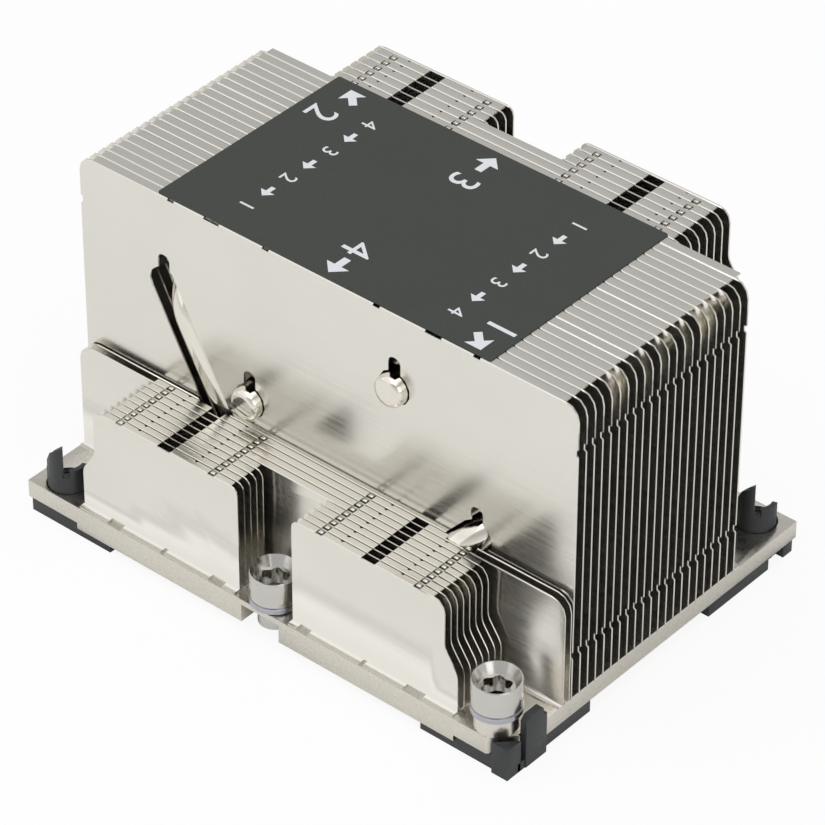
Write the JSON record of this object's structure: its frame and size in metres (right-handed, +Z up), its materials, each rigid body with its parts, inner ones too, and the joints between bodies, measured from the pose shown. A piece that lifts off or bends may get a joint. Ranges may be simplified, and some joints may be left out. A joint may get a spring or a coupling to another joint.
{
  "type": "server processor heatsink",
  "caption": "Passive processor heatsink: a stack of folded metal fins on heat pipes and a flat plate, with captive corner nuts and a clip-on carrier.",
  "frame": {"origin": "under the middle of the plate, on the plane that the carrier stands on", "axes": "+X along the fins, +Y across them from the side with the low fins to the other, +Z up from the processor"},
  "size_m": [0.109, 0.079, 0.0667],
  "materials": {
    "fin_sheet": "bright plated thin sheet",
    "pipe_plating": "mirror-bright nickel plating",
    "plate_plating": "satin nickel plating",
    "nut_steel": "turned and plated steel",
    "carrier_plastic": "moulded, fine grain",
    "label_film": "matt printed film"
  },
  "bodies": {
    "heatsink": {"base_plate": "plate_plating", "heat_pipe_left_inner": "pipe_plating", "heat_pipe_left_outer": "pipe_plating", "heat_pipe_right_inner": "pipe_plating", "heat_pipe_right_outer": "pipe_plating", "label": "label_film", "low_fin_1": "fin_sheet", "low_fin_2": "fin_sheet", "low_fin_3": "fin_sheet", "low_fin_4": "fin_sheet", "low_fin_5": "fin_sheet", "low_left_fin_1": "fin_sheet", "low_left_fin_2": "fin_sheet", "low_left_fin_3": "fin_sheet", "low_left_fin_4": "fin_sheet", "low_left_fin_5": "fin_sheet", "low_right_fin_1": "fin_sheet", "low_right_fin_2": "fin_sheet", "low_right_fin_3": "fin_sheet", "low_right_fin_4": "fin_sheet", "low_right_fin_5": "fin_sheet", "package_carrier": "carrier_plastic", "rear_fin_1": "fin_sheet", "rear_fin_2": "fin_sheet", "rear_fin_3": "fin_sheet", "rear_left_fin_1": "fin_sheet", "rear_left_fin_2": "fin_sheet", "rear_left_fin_3": "fin_sheet", "rear_left_fin_4": "fin_sheet", "rear_right_fin_1": "fin_sheet", "rear_right_fin_2": "fin_sheet", "rear_right_fin_3": "fin_sheet", "rear_right_fin_4": "fin_sheet", "tall_fin_01": "fin_sheet", "tall_fin_02": "fin_sheet", "tall_fin_03": "fin_sheet", "tall_fin_04": "fin_sheet", "tall_fin_05": "fin_sheet", "tall_fin_06": "fin_sheet", "tall_fin_07": "fin_sheet", "tall_fin_08": "fin_sheet", "tall_fin_09": "fin_sheet", "tall_fin_10": "fin_sheet", "tall_fin_11": "fin_sheet", "tall_fin_12": "fin_sheet", "tall_fin_13": "fin_sheet", "tall_fin_14": "fin_sheet", "tall_fin_15": "fin_sheet", "tall_fin_16": "fin_sheet", "tall_fin_17": "fin_sheet", "tall_fin_18": "fin_sheet", "tall_fin_19": "fin_sheet", "tall_fin_20": "fin_sheet", "tall_fin_21": "fin_sheet", "tall_fin_22": "fin_sheet"},
    "nut_front_middle_body": {"nut_front_middle": "nut_steel"},
    "nut_front_right_body": {"nut_front_right": "nut_steel"},
    "nut_rear_left_body": {"nut_rear_left": "nut_steel"},
    "nut_rear_middle_body": {"nut_rear_middle": "nut_steel"}
  },
  "joints": [
    {"name": "front_middle_nut_turn", "type": "hinge", "parent": "heatsink", "child": "nut_front_middle_body", "pos_m": [0, -0.035, 0.0066], "axis": [0, 0, 1], "continuous": true},
    {"name": "front_right_nut_turn", "type": "hinge", "parent": "heatsink", "child": "nut_front_right_body", "pos_m": [0.0484, -0.035, 0.0099], "axis": [0, 0, 1], "continuous": true},
    {"name": "rear_left_nut_turn", "type": "hinge", "parent": "heatsink", "child": "nut_rear_left_body", "pos_m": [-0.0484, 0.035, 0.0099], "axis": [0, 0, 1], "continuous": true},
    {"name": "rear_middle_nut_turn", "type": "hinge", "parent": "heatsink", "child": "nut_rear_middle_body", "pos_m": [0, 0.035, 0.0066], "axis": [0, 0, 1], "continuous": true}
  ]
}
